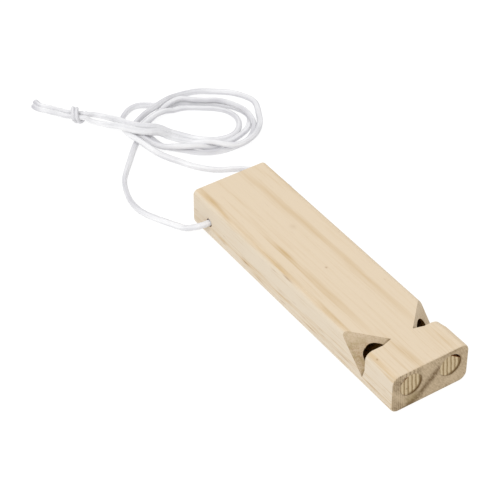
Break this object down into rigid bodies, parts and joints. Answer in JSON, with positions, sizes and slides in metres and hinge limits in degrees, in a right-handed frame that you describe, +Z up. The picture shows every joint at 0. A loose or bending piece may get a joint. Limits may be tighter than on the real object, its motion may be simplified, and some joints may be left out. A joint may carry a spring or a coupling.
{
  "type": "wooden whistle",
  "caption": "Rectangular pine train whistle with plugged parallel bores, windows cut across its top edges, and a white neck cord knotted through a hole at its far end.",
  "frame": {"origin": "middle of the block's underside, on the surface that it lies on", "axes": "+Y along the block from the mouth end to the cord end, +X to the right seen from the mouth end, +Z up through the face with the windows"},
  "size_m": [0.0959, 0.2752, 0.02],
  "materials": {
    "pine": "bare sanded pine",
    "dowel": "sawn end grain",
    "cord": "white satin cord"
  },
  "bodies": {
    "root": {"whistle_block": "pine", "left_fipple_plug": "dowel", "right_fipple_plug": "dowel", "cord_left_lead": "cord", "cord_right_lead": "cord", "cord_left_loops": "cord", "cord_right_loops": "cord", "cord_left_end_run": "cord", "cord_right_end_run": "cord", "cord_knot": "cord", "cord_left_tail": "cord", "cord_right_tail": "cord"}
  },
  "joints": []
}
